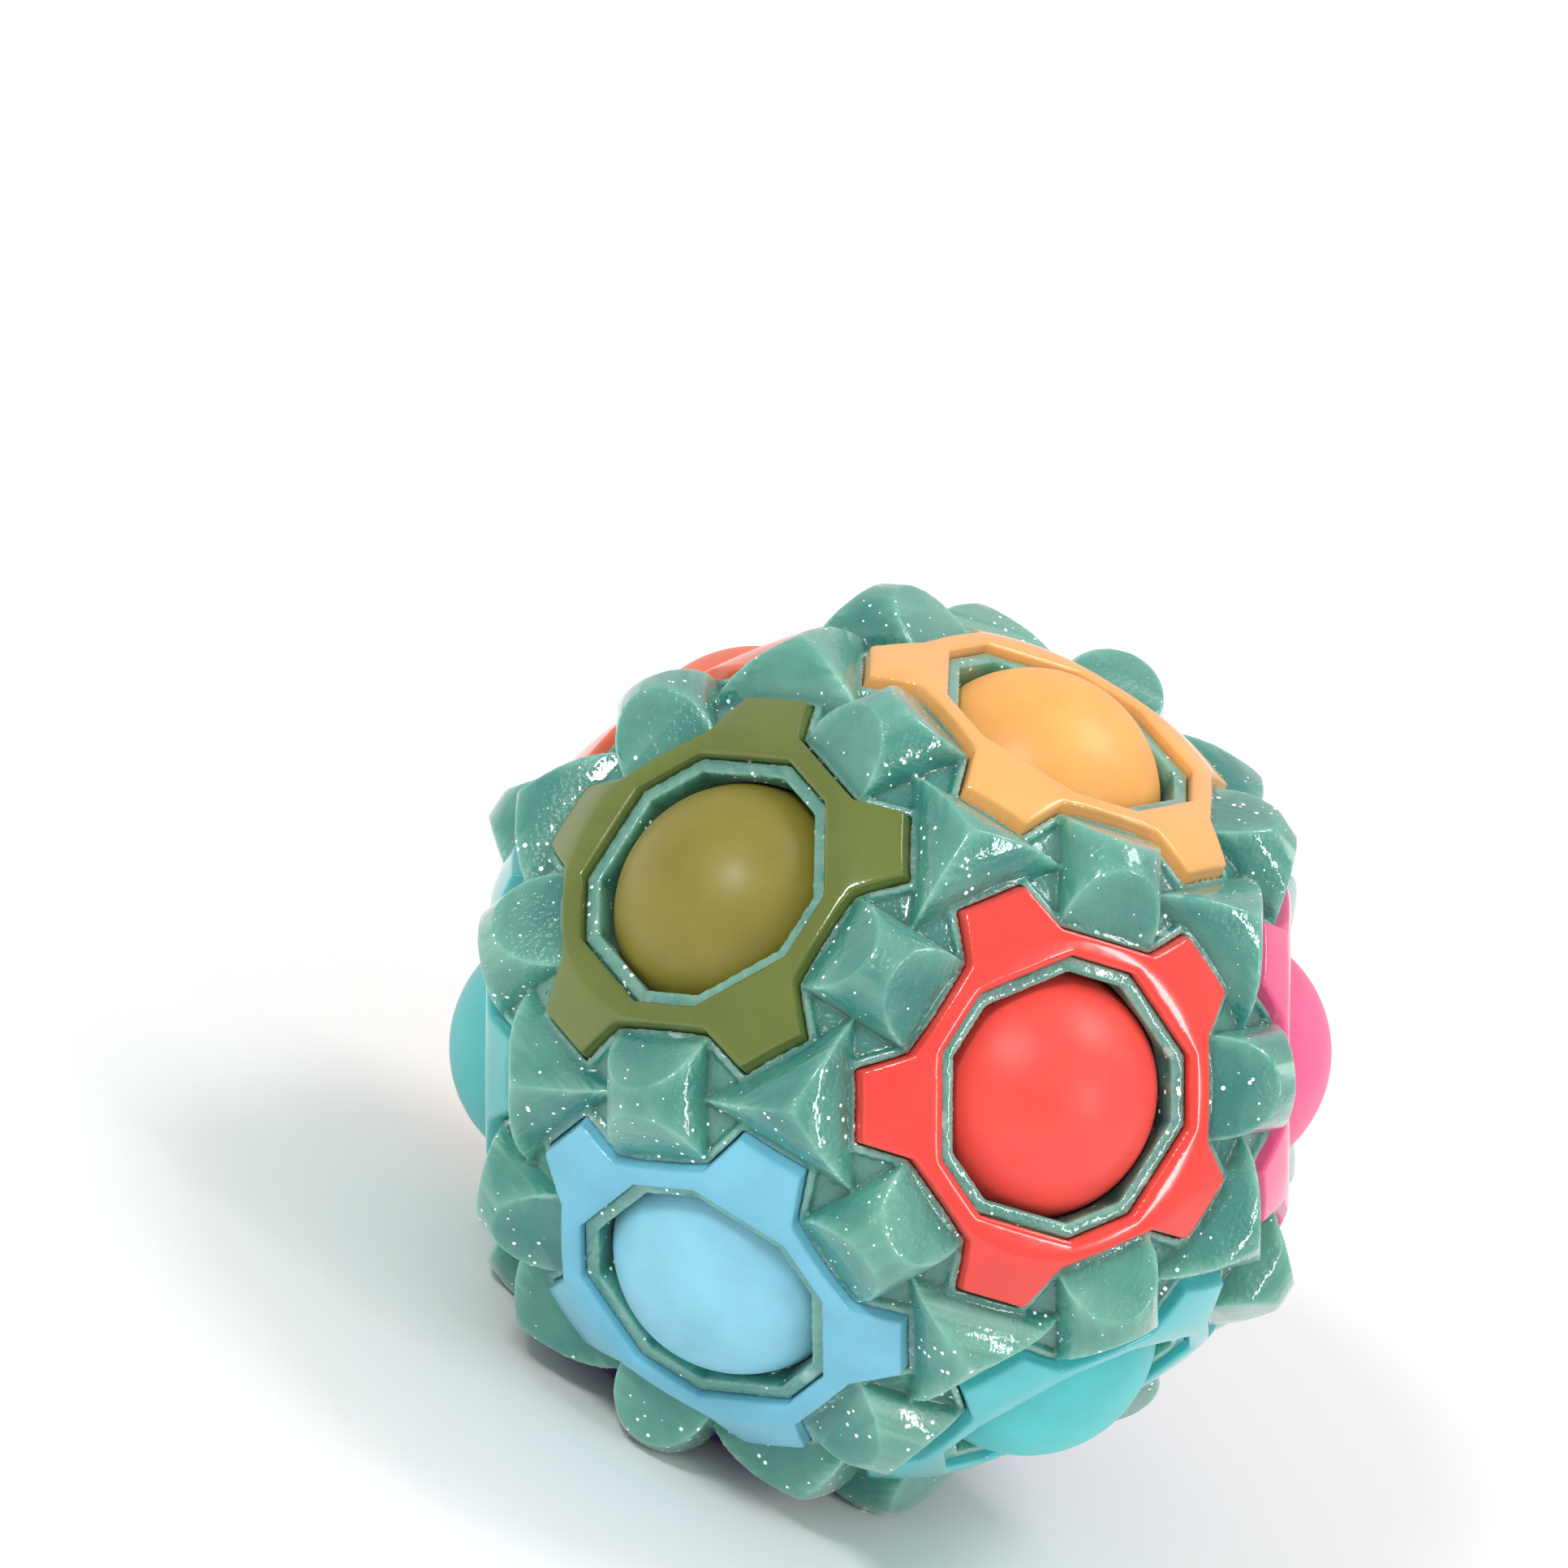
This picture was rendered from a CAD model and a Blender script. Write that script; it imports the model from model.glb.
# %% [markdown]
# # A soft puzzle ball with twelve windows
#
# The toy is a hollow rubbery ball. A dodecahedron has twelve faces, and each of
# them is a ten-sided window here, with a glossy ring let into the rubber round
# it. Eleven loose balls sit behind eleven of the windows, and the twelfth window
# is empty, so that the balls can be moved round the inside. Half-round pads lie
# between neighbouring windows, and a three-sided pyramid stands wherever three
# windows meet.
#
# This lesson models the rubber and one ring with plain tools, copies what
# repeats, and gives every piece a procedural finish. The CAD model is loaded
# first, as a fixed frame: it says where everything is and what moves, and the
# new pieces are laid over it without changing it.

# %% Load the fixed frame
from math import acos, cos, pi, radians, sin, sqrt

import bpy
from mathutils import Euler, Matrix, Vector


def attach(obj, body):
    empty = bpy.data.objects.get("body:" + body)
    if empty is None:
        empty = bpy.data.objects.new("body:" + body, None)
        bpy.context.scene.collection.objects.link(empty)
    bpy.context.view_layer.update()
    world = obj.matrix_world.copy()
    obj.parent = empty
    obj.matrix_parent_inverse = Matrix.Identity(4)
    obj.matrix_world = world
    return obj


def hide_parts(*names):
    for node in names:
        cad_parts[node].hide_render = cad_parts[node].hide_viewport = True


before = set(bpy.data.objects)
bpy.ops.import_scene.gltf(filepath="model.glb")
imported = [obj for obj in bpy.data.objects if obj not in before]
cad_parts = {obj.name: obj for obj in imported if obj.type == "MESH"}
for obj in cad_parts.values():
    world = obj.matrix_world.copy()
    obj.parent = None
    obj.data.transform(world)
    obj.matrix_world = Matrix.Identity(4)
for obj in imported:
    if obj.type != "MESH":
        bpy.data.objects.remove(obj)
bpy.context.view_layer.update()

# %% [markdown]
# ## Camera and display
#
# A small object looks right through a long lens from a couple of metres away:
# the near and far pads then have nearly the same size. The camera is rolled a
# little, because the toy leans as it is held up for view. The standard display
# transform keeps the strong toy colours as they are mixed.

# %% Camera
MM = 0.001
camera_data = bpy.data.cameras.new("long_lens")
camera_data.lens = 459.274
camera_data.sensor_width = 36
camera_data.clip_start = 0.1
camera_data.clip_end = 60
camera = bpy.data.objects.new("camera", camera_data)
camera.location = (1.712864, -0.952919, 0.889950)
camera.rotation_euler = Euler([radians(a) for a in (64.3435, -26.2917, 73.6114)])
bpy.context.scene.collection.objects.link(camera)
bpy.context.scene.camera = camera
bpy.context.scene.view_settings.view_transform = "Standard"
print("camera is", round(camera.location.length, 3), "m away")

# %% [markdown]
# ## Sizes
#
# Everything follows from the loose ball and the twelve directions. A ball has to
# pass between two seated balls on its way from one window to the next, and that
# sets how far out the balls are seated. The cavity, the floor of the rubber, the
# rings and the rims then follow outwards, one wall at a time.

# %% Sizes of the balls, the rubber and the rings
ball_d, ball_gap, pass_gap = 27.8 * MM, 0.3 * MM, 0.46 * MM
wall, lip_drop, lip_w = 8.1 * MM, 2.61 * MM, 1.7 * MM
arm_grip, pad_grip = 1.5 * MM, 0.9 * MM
bead_w, bead_rise = 0.7 * MM, 0.6 * MM
rim_step, ring_sink, ring_t, band_w = 1.1 * MM, 0.8 * MM, 2.5 * MM, 2.4 * MM
arm_l, arm_root_w, arm_tip_w, ring_gap = 5.1 * MM, 11 * MM, 7.6 * MM, 0.15 * MM
pad_rise, pad_l, crown_w, pad_gap = 5.8 * MM, 11.2 * MM, 3 * MM, 0.1 * MM
peak_rise, peak_face_r, peak_slope = 5.4 * MM, 9.5 * MM, radians(24)

face_a = acos(1 / sqrt(5))
edge_a = face_a / 2
fifth = 2 * pi / 5
mid_k = (1 - sin(edge_a)) / cos(edge_a)
pass_k = sqrt(mid_k**2 + 1 - 2 * mid_k * sin(edge_a))
ball_r = ball_d / 2
cup_r = ball_r + ball_gap
ball_seat = (ball_d + pass_gap) / pass_k
cavity_r = sqrt(ball_seat**2 + cup_r**2)
floor_r = cavity_r + wall
seat_r = floor_r - ring_sink
crown_r = seat_r + ring_t
lip_h = floor_r - lip_drop
rim_h = lip_h + rim_step
window_arm, window_pad = ball_r - arm_grip, ball_r - pad_grip
hole_arm, hole_pad = window_arm + lip_w, window_pad + lip_w
ring_side = hole_pad + band_w
arm_reach = ring_side + arm_l
pad_w = 2 * (sqrt(floor_r**2 - ring_side**2) * sin(edge_a) - ring_side * cos(edge_a) - pad_gap)
pad_crest = floor_r + pad_rise
pad_foot = sqrt(floor_r**2 - pad_w**2 / 4)
peak_h = floor_r + peak_rise
stand_h = max(rim_h, pad_crest * cos(edge_a) + crown_w / 2 * sin(edge_a))
print("floor radius", round(floor_r / MM, 2), "mm, centre", round(stand_h / MM, 2), "mm up")

# %% [markdown]
# ## The twelve directions
#
# A window looks along each axis of a dodecahedron. Pads lie half way between
# neighbouring axes, and pyramids in the middle of three. A matrix for each place
# turns a piece that is modelled upright, at +Z, to where it belongs.

# %% Directions of the windows, pads and pyramids
COLOURS = ["peach", "red", "pink", "yellow", "coral", "olive",
           "cyan", "blue", "orange", "teal", "sky", "purple"]
# angle from +Z, turn about Z and direction of the first arm, for each window
FACES = ([(0, 0, fifth / 2)]
         + [(face_a, fifth * k, 0) for k in range(5)]
         + [(pi - face_a, fifth * (k + 0.5), fifth / 2) for k in range(5)]
         + [(pi, 0, fifth / 2)])


def facing(up, side):
    """Matrix that turns +Z to up and +X to side."""
    return Matrix((side, up.cross(side), up)).transposed().to_4x4()


def neighbours(a, b):
    """Whether two window axes belong to faces that share an edge."""
    return abs(a.dot(b) - cos(face_a)) < 0.1


WINDOWS = [Matrix.Rotation(turn, 4, "Z") @ Matrix.Rotation(lean, 4, "Y")
           @ Matrix.Rotation(first, 4, "Z") for lean, turn, first in FACES]
AXES = [w.to_3x3() @ Vector((0, 0, 1)) for w in WINDOWS]
PADS, PEAKS = [], []
for i in range(12):
    for j in range(i + 1, 12):
        if neighbours(AXES[i], AXES[j]):
            PADS.append(facing((AXES[i] + AXES[j]).normalized(),
                               (AXES[i] - AXES[j]).normalized()))
            for k in range(j + 1, 12):
                if neighbours(AXES[i], AXES[k]) and neighbours(AXES[j], AXES[k]):
                    up = (AXES[i] + AXES[j] + AXES[k]).normalized()
                    PEAKS.append(facing(up, (AXES[i] - up * AXES[i].dot(up)).normalized()))
print(len(WINDOWS), "windows,", len(PADS), "pads,", len(PEAKS), "pyramids")

# %% [markdown]
# ## Small helpers
#
# An operator acts on all that is selected, so each step starts with nothing
# selected. `choose` then picks faces by their middle and normal, and `carve`
# joins, cuts or keeps the overlap of two solids with the Boolean modifier.

# %% Helpers for selecting, cutting and copying
def start(add, **how):
    """Add a primitive with nothing else selected."""
    bpy.ops.object.select_all(action="DESELECT")
    add(**how)
    return bpy.context.object


def rest_in_mesh():
    """Move the place and turn of the selected piece into its mesh."""
    bpy.ops.object.transform_apply(location=True, rotation=True, scale=True)


def choose(piece, test):
    """Enter edit mode with only the faces selected that pass the test."""
    bpy.ops.object.mode_set(mode="EDIT")
    bpy.ops.mesh.select_mode(type="FACE")
    bpy.ops.mesh.select_all(action="DESELECT")
    bpy.ops.object.mode_set(mode="OBJECT")
    for face in piece.data.polygons:
        face.select = test(face.center, face.normal)
    bpy.ops.object.mode_set(mode="EDIT")


def only(piece):
    """Select one piece and nothing else."""
    bpy.ops.object.select_all(action="DESELECT")
    piece.select_set(True)
    bpy.context.view_layer.objects.active = piece


def finish_with(piece, kind, **settings):
    """Add a modifier and apply it."""
    only(piece)
    modifier = piece.modifiers.new(kind.lower(), kind)
    for name, value in settings.items():
        setattr(modifier, name, value)
    bpy.ops.object.modifier_apply(modifier=modifier.name)


def carve(piece, other, operation):
    """Boolean of two solids. The second one is used up."""
    finish_with(piece, "BOOLEAN", object=other, operation=operation, solver="MANIFOLD")
    bpy.data.objects.remove(other)


def cut_off(piece, point, normal):
    """Slice away what lies beyond a plane, and close the cut."""
    only(piece)
    bpy.ops.object.mode_set(mode="EDIT")
    bpy.ops.mesh.select_all(action="SELECT")
    bpy.ops.mesh.bisect(plane_co=point, plane_no=normal, use_fill=True, clear_outer=True)
    bpy.ops.object.mode_set(mode="OBJECT")


def settle(piece, turn):
    """Put a piece in its place, and move that place into its mesh."""
    piece.matrix_world = turn @ piece.matrix_world
    only(piece)
    rest_in_mesh()


def copies(piece, turns):
    """Copy a finished solid to each place and join the copies. The first one is used up."""
    made = []
    for turn in turns:
        only(piece)
        bpy.ops.object.duplicate(linked=False)
        copy = bpy.context.object
        settle(copy, turn)
        made.append(copy)
    bpy.data.objects.remove(piece)
    bpy.ops.object.select_all(action="DESELECT")
    for copy in made:
        copy.select_set(True)
    bpy.context.view_layer.objects.active = made[0]
    bpy.ops.object.join()
    return bpy.context.object


def soften(piece, voxel, passes):
    """Remesh a cut solid evenly and relax it, which rounds every edge a little."""
    finish_with(piece, "REMESH", mode="VOXEL", voxel_size=voxel)
    finish_with(piece, "SMOOTH", factor=0.5, iterations=passes)
    only(piece)
    bpy.ops.object.shade_smooth()


# %% [markdown]
# ## A ten-sided block and a five-armed block
#
# The openings have ten sides of two lengths. By hand they are a pentagon whose
# five corners are sliced off. A ring's outline is such a block as well, and an
# arm is drawn out of every other side: the block is turned by a fifth each time,
# so that the arm is always drawn along +X.

# %% Blocks that the openings and rings are cut with
def ten_sided(to_arm, to_pad, low, high):
    """Block with its sides to_arm and to_pad away from the middle."""
    block = start(bpy.ops.mesh.primitive_cylinder_add, vertices=5, radius=to_arm / cos(pi / 5),
                  depth=high - low, location=(0, 0, (low + high) / 2), rotation=(0, 0, pi / 10))
    rest_in_mesh()
    for k in range(5):
        away = Vector((cos(fifth * (k + 0.5)), sin(fifth * (k + 0.5)), 0))
        cut_off(block, away * to_pad, away)
    return block


def five_armed(extra, low, high):
    """Block with a ring's outline, larger all round by extra."""
    root, tip, side = arm_root_w / 2 + extra, arm_tip_w / 2 + extra, ring_side + extra
    root_x = (side - root * sin(pi / 5)) / cos(pi / 5)
    block = ten_sided(root_x, side, low, high)
    for k in range(5):
        choose(block, lambda middle, normal: normal.x > 0.99 and middle.x > root_x - 0.1 * MM)
        bpy.ops.mesh.extrude_region_move(
            TRANSFORM_OT_translate={"value": (arm_reach + extra - root_x, 0, 0)})
        bpy.ops.transform.resize(value=(1, tip / root, 1), center_override=(0, 0, 0))
        bpy.ops.object.mode_set(mode="OBJECT")
        settle(block, Matrix.Rotation(fifth, 4, "Z"))
    return block


def ball_of(radius, rounds=96, middle=(0, 0, 0)):
    """Plain ball, to fuse with a solid or to cut one with."""
    ball = start(bpy.ops.mesh.primitive_uv_sphere_add, segments=rounds, ring_count=rounds // 2,
                 radius=radius, location=middle)
    rest_in_mesh()
    return ball


# %% [markdown]
# ## One pad
#
# On the toy a pad bridges two windows. It is half of a lying cylinder, sliced on
# a slant towards the two rings beside it, which leaves a narrow crown. It could
# be built corner by corner, but a cylinder that is cut with planes keeps its
# round ends true. The slanted sides swell a little, so each is cut with two
# planes. The pad reaches well into the rubber, where it will be fused on.

# %% Pad
def upward(slope):
    """Direction square to a slope in the XZ plane, on its upper side."""
    square = Vector((-slope.z, 0, slope.x)).normalized()
    return square if square.z > 0 else -square


pad_mid = pad_crest - pad_l / 2
hair = 0.01 * MM
rooting = 2 * MM  # how far above the cavity a raised shape starts
swell = 0.14 * MM
pad = start(bpy.ops.mesh.primitive_cylinder_add, vertices=64, radius=pad_l / 2, depth=pad_w,
            location=(0, 0, pad_mid), rotation=(0, pi / 2, 0))
rest_in_mesh()
bpy.ops.object.mode_set(mode="EDIT")
bpy.ops.mesh.select_mode(type="VERT")
bpy.ops.mesh.select_all(action="DESELECT")
bpy.ops.object.mode_set(mode="OBJECT")
for vertex in pad.data.vertices:
    vertex.select = vertex.co.z < pad_mid - hair
bpy.ops.object.mode_set(mode="EDIT")
bpy.ops.transform.translate(value=(0, 0, cavity_r + rooting - pad_mid))
bpy.ops.object.mode_set(mode="OBJECT")
for way in (-1, 1):
    crest_edge = Vector((way * crown_w / 2, 0, pad_crest))
    foot_edge = Vector((way * pad_w / 2, 0, pad_foot))
    bulge = (crest_edge + foot_edge) / 2 + upward(foot_edge - crest_edge) * swell
    cut_off(pad, crest_edge, upward(bulge - crest_edge))
    cut_off(pad, bulge, upward(foot_edge - bulge))
print("pad:", len(pad.data.polygons), "faces,", round(pad_w / MM, 1), "mm wide")

# %% [markdown]
# ## One pyramid
#
# Where three windows meet, the toy has a pyramid whose three sides swell like the
# side of a barrel. Drawing a triangle up to a point would give it flat sides.
# Three lying cylinders, each turned by a third, share exactly the swollen shape,
# so the pyramid is what is left when each is kept only where the others are.

# %% Pyramid
pyramid = None
for k in range(3):
    barrel = start(bpy.ops.mesh.primitive_cylinder_add, vertices=128, radius=peak_face_r,
                   depth=4 * peak_face_r, rotation=(pi / 2, 0, 0),
                   location=(-peak_face_r * sin(peak_slope), 0,
                             peak_h - peak_face_r * cos(peak_slope)))
    settle(barrel, Matrix.Rotation(2 * pi / 3 * k, 4, "Z"))
    if pyramid is None:
        pyramid = barrel
    else:
        carve(pyramid, barrel, "INTERSECT")
cut_off(pyramid, (0, 0, cavity_r + rooting), (0, 0, -1))
print("pyramid:", len(pyramid.data.polygons), "faces")

# %% [markdown]
# ## The rubber shell
#
# The shell is one soft moulding, so it has to be one closed mesh. Pads that only
# touch a ball would show seams which the toy doesn't have, so solids are fused
# and cut instead. The outside is a ball with the pads, pyramids and beads on it.
# Then the recesses for the rings are cut, the lips are put back in, and last the
# windows, the cups that hold the balls and the round cavity are cut through all
# of it. The copies of a shape are joined first, so that one Boolean cuts them all.

# %% Outside of the shell
far = 2 * pad_crest  # well outside the toy, for blocks that cut right through
soft_shell = ball_of(floor_r)
soft_shell.name = soft_shell.data.name = "soft_shell"
for solid, turns in ((pad, PADS), (pyramid, PEAKS)):
    carve(soft_shell, copies(solid, turns), "UNION")
bead = five_armed(ring_gap + bead_w, seat_r / 2, far)
carve(bead, ball_of(floor_r + bead_rise), "INTERSECT")
recess = five_armed(ring_gap, seat_r / 2, far)
carve(recess, ball_of(seat_r), "DIFFERENCE")
lip = ten_sided(hole_arm - ring_gap, hole_pad - ring_gap, cavity_r, lip_h)
window = ten_sided(window_arm, window_pad, ball_seat, far)
cup = ball_of(cup_r, 64, (0, 0, ball_seat))
for solid, operation in ((bead, "UNION"), (recess, "DIFFERENCE"), (lip, "UNION"),
                         (window, "DIFFERENCE"), (cup, "DIFFERENCE")):
    carve(soft_shell, copies(solid, WINDOWS), operation)
carve(soft_shell, ball_of(cavity_r), "DIFFERENCE")
print("shell, sharp:", len(soft_shell.data.polygons), "faces")

# %% [markdown]
# ## Soft edges and mould waves
#
# Sharp edges are not what soft rubber has when it leaves a mould, and a bevel
# would fail where so many solids meet. So the whole is remeshed in small even
# cells and relaxed, which rounds every edge alike. It is then thinned, because
# the flat parts need few faces, and given the slight waves of a soft moulding.

# %% Soft edges of the shell
soften(soft_shell, (0.26) * MM, 2)
even_faces = len(soft_shell.data.polygons)
print("shell, even:", even_faces, "faces")
triangle_budget = 190_000
finish_with(soft_shell, "DECIMATE", ratio=min(1, triangle_budget / (2 * even_faces)))
waves = bpy.data.textures.new("mould_waves", "CLOUDS")
waves.noise_scale = 3 * MM
finish_with(soft_shell, "DISPLACE", texture=waves, strength=0.12 * MM, mid_level=0.5)
settle(soft_shell, Matrix.Translation((0, 0, stand_h)))
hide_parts("upper_shell", "lower_shell")
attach(soft_shell, "shell")
print("shell, thinned:", len(soft_shell.data.polygons), "faces")

# %% [markdown]
# ## One ring, and its eleven copies
#
# A ring is one smooth moulding: a five-armed plate whose face is flat round the
# opening and bends down with the ball along its arms. A ball with its top sliced
# off has that face, and relaxing it makes the bend round. The five-armed block
# then keeps what it shares with that dome, the seat and the opening are cut, and
# a flared block leaves a small chamfer round the opening.

# %% Plate of the ring
ring = five_armed(0, seat_r / 2, far)
dome = ball_of(crown_r)
cut_off(dome, (0, 0, rim_h), (0, 0, 1))
cut_off(dome, (0, 0, crown_r / 2), (0, 0, -1))
soften(dome, 0.6 * MM, 36)
carve(ring, dome, "INTERSECT")
carve(ring, ball_of(seat_r), "DIFFERENCE")
carve(ring, ten_sided(hole_arm, hole_pad, 0, far), "DIFFERENCE")
print("ring, sharp:", len(ring.data.polygons), "faces")

# %% Chamfer and soft edges of the ring
chamfer_w, chamfer_h = 0.7 * MM, 0.25 * MM
flare_arm = hole_arm + chamfer_w
flare = ten_sided(flare_arm, hole_pad + chamfer_w, rim_h - chamfer_h, rim_h + chamfer_h)
for way in (-1, 1):
    choose(flare, lambda middle, normal: normal.z * way > 0.9)
    share = (flare_arm + way * chamfer_w) / flare_arm
    bpy.ops.transform.resize(value=(share, share, 1),
                             center_override=(0, 0, rim_h + way * chamfer_h))
    bpy.ops.object.mode_set(mode="OBJECT")
carve(ring, flare, "DIFFERENCE")
soften(ring, (0.22) * MM, 6)
print("ring:", len(ring.data.polygons), "faces")

# %% Twelve rings
RINGS = {}
for colour, turn in zip(COLOURS, WINDOWS):
    only(ring)
    bpy.ops.object.duplicate(linked=False)
    piece = bpy.context.object
    settle(piece, Matrix.Translation((0, 0, stand_h)) @ turn)
    piece.name = piece.data.name = f"moulded_ring_{colour}"
    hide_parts(f"ring_{colour}")
    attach(piece, "shell")
    RINGS[colour] = piece
bpy.data.objects.remove(ring)
print("rings:", len(RINGS))

# %% [markdown]
# ## Floor
#
# The toy stands on the crowns of five pads. A plain floor, far wider than the
# toy, catches its soft shadow and reaches past the edge of any view. It is not
# a part of the toy, so it is marked as stage.

# %% Floor
floor = start(bpy.ops.mesh.primitive_plane_add, size=12)
floor.name = "floor"
print("floor:", round(floor.dimensions.x), "m wide")

# %% [markdown]
# ## Finishes
#
# Every finish is a small set of nodes on the Principled shader. Patterns read
# Object coordinates in metres, so a scale of 500 means that a pattern repeats
# about every two millimetres. A small class keeps the tree and the shader of one
# finish together, so that each node is added, filled and linked in one line.

# %% Helpers for node finishes
def from_srgb(text):
    """Linear colour of a #rrggbb value."""
    channels = [int(text[i:i + 2], 16) / 255 for i in (1, 3, 5)]
    return (*[c / 12.92 if c < 0.04045 else ((c + 0.055) / 1.055) ** 2.4 for c in channels], 1)


class Finish:
    """A material whose nodes are added and linked one line at a time."""

    def __init__(self, name, **sockets):
        self.material = bpy.data.materials.new(name)
        self.material.use_nodes = True
        self.tree = self.material.node_tree
        self.shader = self.tree.nodes["Principled BSDF"]
        self.place = self.tree.nodes.new("ShaderNodeTexCoord").outputs["Object"]
        self.set(self.shader, sockets)

    def set(self, node, sockets):
        """Link or fill sockets by name, or by number as _0, _1 and so on."""
        for name, value in sockets.items():
            socket = node.inputs[int(name[1:]) if name[1:].isdigit() else name.replace("_", " ")]
            if isinstance(value, bpy.types.NodeSocket):
                self.tree.links.new(value, socket)
            else:
                socket.default_value = value

    def add(self, kind, output=0, **sockets):
        """Add a node, set its inputs and return one of its outputs."""
        node = self.tree.nodes.new("ShaderNode" + kind)
        self.set(node, sockets)
        return node.outputs[output]

    def noise(self, size, detail=2):
        """Cloudy pattern from 0 to 1, with patches of about that size."""
        return self.add("TexNoise", "Fac", Vector=self.place, Scale=1 / size, Detail=detail)

    def ramp(self, value, low, high, to_low=0.0, to_high=1.0):
        """Stretch a value from low and high to to_low and to_high."""
        return self.add("MapRange", "Result", Value=value, From_Min=low, From_Max=high,
                        To_Min=to_low, To_Max=to_high)

    def mix(self, amount, first, second):
        """Colour mix: first where amount is 0, second where it is 1."""
        node = self.tree.nodes.new("ShaderNodeMix")
        node.data_type = "RGBA"
        self.set(node, {"_0": amount, "_6": first, "_7": second})
        return node.outputs[2]

    def bump(self, height, distance, under=None):
        """Tilt the surface as if a pattern stood up by distance, over another bump or not."""
        sockets = {"Normal": under} if under else {}
        return self.add("Bump", "Normal", Height=height, Distance=distance, **sockets)

    def cover(self, piece):
        """Make this the only finish of a new piece."""
        piece.data.materials.clear()
        piece.data.materials.append(self.material)


# %% [markdown]
# ## Rubber with glitter
#
# The rubber is a milky sea-green elastomer. Tinted glass would show the inside
# too clearly, and plain plastic would look dead, so subsurface light does most of
# the work. It goes a few millimetres in, so thin edges glow, hollows stay deep,
# and the colours of the rings bleed in. Pointiness tells ridges from hollows, and
# makes the one paler and the other darker.
#
# The surface is a wet coat over a fine orange peel. The coat has its own small
# ripple, which breaks the highlights up without dulling them. White flakes are
# scattered through the rubber: each cell of a Voronoi pattern holds one, and a
# slow noise makes them larger here and smaller there.

# %% Rubber
rubber = Finish("rubber", Roughness=0.25, IOR=1.45, Subsurface_Scale=4.5 * MM,
                Subsurface_Radius=(0.5, 1.0, 0.85), Coat_Weight=1.0, Coat_Roughness=0.04,
                Sheen_Weight=0.3, Sheen_Roughness=0.35, Sheen_Tint=from_srgb("#d8f0e2"),
                Transmission_Weight=0.08)
cloud = rubber.ramp(rubber.noise(14 * MM, 3), 0.35, 0.65)
tint = rubber.mix(cloud, from_srgb("#2c897e"), from_srgb("#5aa694"))
edges = rubber.add("NewGeometry", "Pointiness")
tint = rubber.mix(rubber.ramp(edges, 0.51, 0.58, 0, 0.7), tint, from_srgb("#c4e6d4"))
tint = rubber.mix(rubber.ramp(edges, 0.49, 0.42, 0, 0.6), tint, from_srgb("#2c665b"))
flake_reach = rubber.ramp(rubber.noise(9 * MM, 1), 0.36, 0.66, 0.02, 0.19)
flake_away = rubber.add("TexVoronoi", "Distance", Vector=rubber.place, Scale=1 / (1.3 * MM))
flakes = rubber.add("Math", _0=flake_away, _1=flake_reach)
flakes.node.operation = "LESS_THAN"
tint = rubber.mix(flakes, tint, (0.95, 0.98, 0.94, 1))
peel = rubber.bump(rubber.noise(0.55 * MM), 0.16 * MM)
peel = rubber.bump(rubber.noise(2.2 * MM), 0.25 * MM, peel)
ripple = rubber.bump(rubber.noise(1.1 * MM), 0.05 * MM)
rubber.set(rubber.shader, {
    "Base Color": tint, "Normal": peel, "Coat Normal": ripple,
    "Subsurface Weight": rubber.ramp(flakes, 0, 1, 0.85, 0.0),
    "Emission Color": (1, 1, 1, 1), "Emission Strength": rubber.ramp(flakes, 0, 1, 0, 0.35)})
rubber.cover(soft_shell)
print("rubber:", len(rubber.tree.nodes), "nodes")

# %% [markdown]
# ## Glossy rings and satin balls
#
# The rings are injection moulded and shiny. The balls are of much the same
# colours but satin, with a trace of light going in. Both get a faint mottle in
# their colour, the rings a slow wave and the balls a fine grain in their surface.
# The balls are still the CAD ones, whose shape is right, so only the material in
# their slots changes.

# %% Colours of the rings and balls
RING_TINTS = dict(peach="#fbb265", red="#f24238", pink="#fc5c92", yellow="#f0cf33",
                  coral="#ee7052", olive="#66742a", cyan="#4ac3c8", blue="#3a5cb0",
                  orange="#f38f3d", teal="#50b6b6", sky="#74c3dd", purple="#573a82")
BALL_TINTS = dict(RING_TINTS, peach="#f8b25e", red="#fa4e44", pink="#fd6c9c",
                  olive="#8c802e", cyan="#58cccc", sky="#8ed0e5")


def mottled(plastic, mottle, tint, pale):
    """Colour that drifts a little round a tint, as pigment does in a moulding."""
    shades = [(*[min(1, c * factor) for c in tint[:3]], 1) for factor in (0.93, pale)]
    return plastic.mix(mottle, *shades)


print(len(RING_TINTS), "ring colours")

# %% Glossy plastic on the rings
for colour, piece in RINGS.items():
    gloss = Finish(f"ring_{colour}", Roughness=0.16, Subsurface_Weight=0.12,
                   Subsurface_Scale=1.5 * MM, Coat_Weight=0.4, Coat_Roughness=0.05)
    mottle = gloss.ramp(gloss.noise(7 * MM, 3), 0.35, 0.65)
    gloss.set(gloss.shader, {
        "Base Color": mottled(gloss, mottle, from_srgb(RING_TINTS[colour]), 1.04),
        "Normal": gloss.bump(gloss.noise(3 * MM), 0.03 * MM)})
    gloss.cover(piece)
print("glossy:", len(RINGS), "rings")

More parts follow.
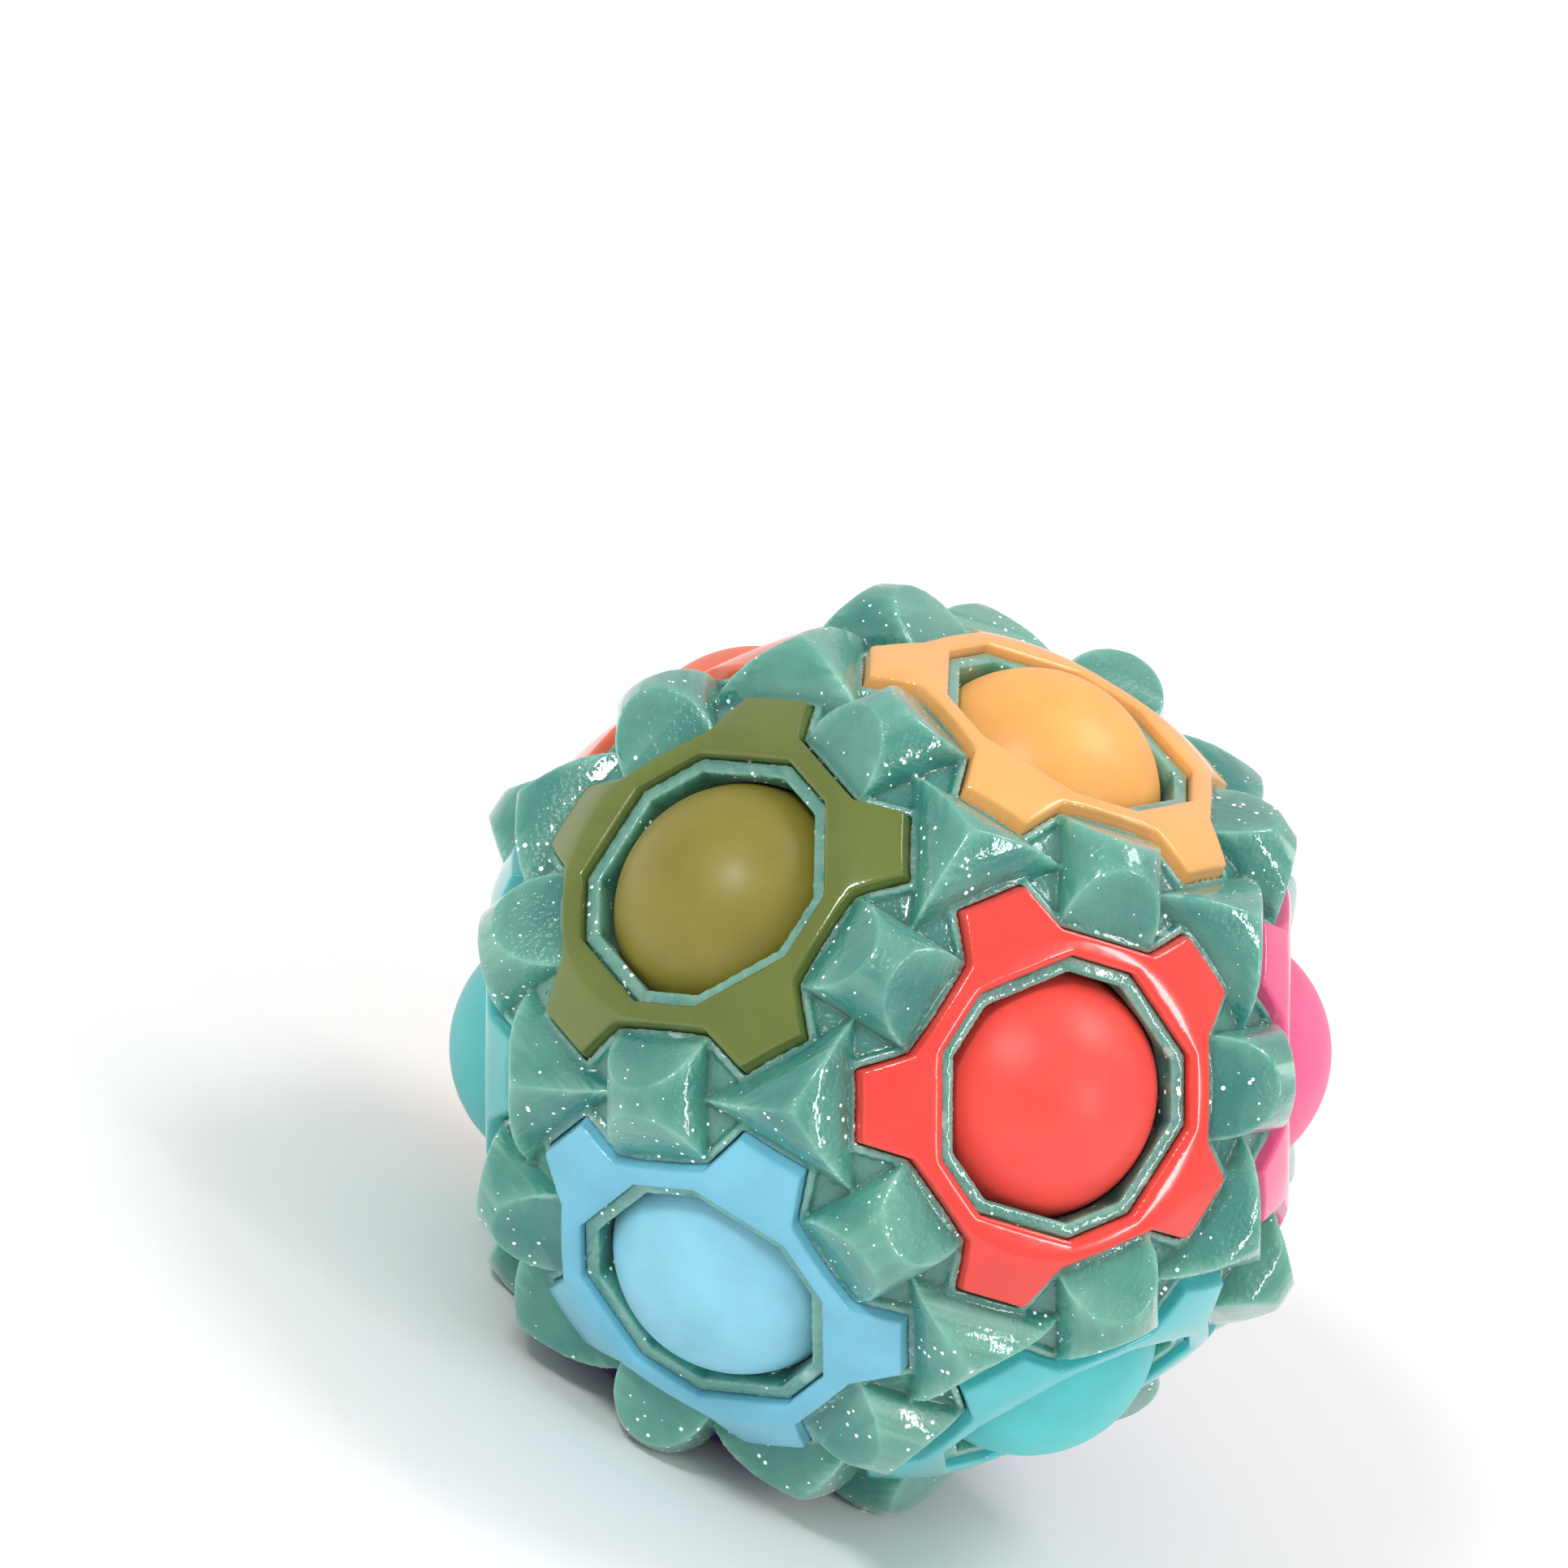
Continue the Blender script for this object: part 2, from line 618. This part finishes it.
# %% Satin plastic on the balls
BALLS = [colour for colour in COLOURS if f"ball_{colour}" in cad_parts]
for colour in BALLS:
    satin = Finish(f"ball_{colour}", Subsurface_Weight=0.25, Subsurface_Scale=2 * MM)
    mottle = satin.noise(5 * MM, 4)
    satin.set(satin.shader, {
        "Base Color": mottled(satin, satin.ramp(mottle, 0.3, 0.7),
                              from_srgb(BALL_TINTS[colour]), 1.05),
        "Roughness": satin.ramp(mottle, 0.3, 0.7, 0.36, 0.46),
        "Normal": satin.bump(satin.noise(0.25 * MM), 0.006 * MM)})
    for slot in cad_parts[f"ball_{colour}"].material_slots:
        slot.material = satin.material
print("satin:", len(BALLS), "balls")

# %% [markdown]
# ## Paper under the toy
#
# The floor is a matt off-white, with a drift of tone too faint to notice, so
# that nothing in it draws the eye from the toy.

# %% Paper
paper = Finish("paper", Roughness=0.85)
drift = paper.mix(paper.noise(0.4), (0.9, 0.9, 0.9, 1), (0.93, 0.93, 0.92, 1))
paper.set(paper.shader, {"Base Color": drift})
paper.cover(floor)
print("paper:", len(paper.tree.nodes), "nodes")

# %% [markdown]
# ## Light
#
# Plain soft studio light: a key from the upper left, a tall strip on the right
# that draws lines along the edges, one lamp above on the far right, and a white
# room that fills the shadows. Every lamp is an area lamp turned to the middle of
# the toy, because highlights on gloss show a lamp's own shape.

# %% Lamps and room
def lamp(name, place, size, power, length=None):
    """Soft lamp that faces the toy."""
    data = bpy.data.lights.new(name, "AREA")
    data.shape = "RECTANGLE"
    data.size, data.size_y, data.energy = size, length or size, power
    lamp_object = bpy.data.objects.new(name, data)
    lamp_object.location = place
    aim = Vector((0, 0, stand_h)) - Vector(place)
    lamp_object.rotation_euler = aim.to_track_quat("-Z", "Y").to_euler()
    bpy.context.scene.collection.objects.link(lamp_object)


lamp("key", (0.55, -1.25, 1.35), 0.3, 13)
lamp("strip", (1.3, 0.9, 0.9), 0.12, 5.5, 0.8)
lamp("top", (-0.1, 0.6, 1.4), 0.5, 6.5)
room = bpy.data.worlds.new("room")
bpy.context.scene.world = room
room.use_nodes = True
background = room.node_tree.nodes["Background"].inputs
background["Color"].default_value = (1, 1, 1, 1)
background["Strength"].default_value = 0.66
